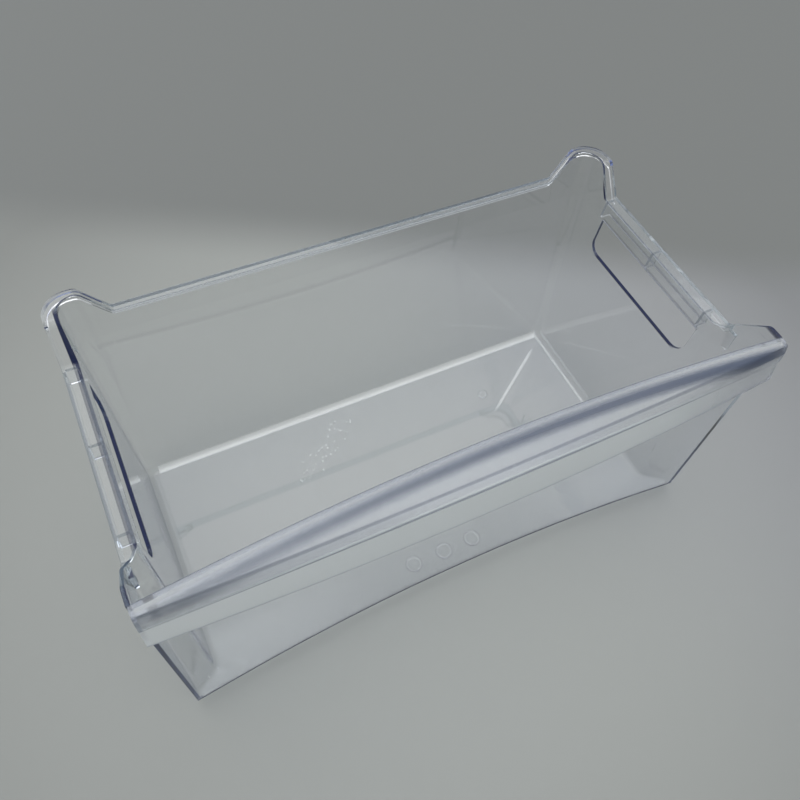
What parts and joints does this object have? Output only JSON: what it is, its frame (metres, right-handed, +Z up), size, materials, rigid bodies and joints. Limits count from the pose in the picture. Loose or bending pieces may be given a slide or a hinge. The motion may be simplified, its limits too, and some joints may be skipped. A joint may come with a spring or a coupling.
{
  "type": "freezer drawer",
  "caption": "Clear moulded freezer drawer basket with raised rear corners, side rails over side windows, flared front wings and a frosted curved handle strip.",
  "frame": {"origin": "centre of the outline in plan, on the underside of the floor", "axes": "+X across the drawer, -Y towards the handle strip, +Z up"},
  "size_m": [0.4528, 0.247, 0.2129],
  "materials": {
    "clear_plastic": "gloss",
    "frosted_plastic": "satin"
  },
  "bodies": {
    "root": {"basket": "clear_plastic", "handle_strip": "frosted_plastic"}
  },
  "joints": []
}
